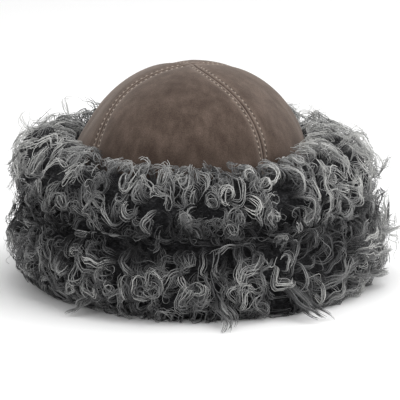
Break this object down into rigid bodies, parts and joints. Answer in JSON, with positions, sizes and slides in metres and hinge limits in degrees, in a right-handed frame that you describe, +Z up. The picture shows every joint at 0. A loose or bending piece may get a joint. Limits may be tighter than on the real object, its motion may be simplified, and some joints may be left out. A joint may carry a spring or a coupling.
{
  "type": "suede cap with a curly sheepskin cuff",
  "caption": "Winter cap with a sewn suede dome of shaped gores and a deep turned-up cuff of long curly grey sheepskin, standing on its cuff.",
  "frame": {"origin": "on the surface that the cap stands on, under the middle of its cuff", "axes": "+Z up through the crown, -Y the front, +X the wearer's left"},
  "size_m": [0.3443, 0.348, 0.19],
  "materials": {
    "suede": "matt brown suede with a short nap",
    "curly_wool": "long curly grey wool, dark at the roots and pale at the tips"
  },
  "bodies": {
    "root": {"crown_panel_front": "suede", "crown_panel_left": "suede", "crown_panel_back": "suede", "crown_panel_right": "suede", "fur_cuff_front": "curly_wool", "fur_cuff_left": "curly_wool", "fur_cuff_back": "curly_wool", "fur_cuff_right": "curly_wool"}
  },
  "joints": []
}
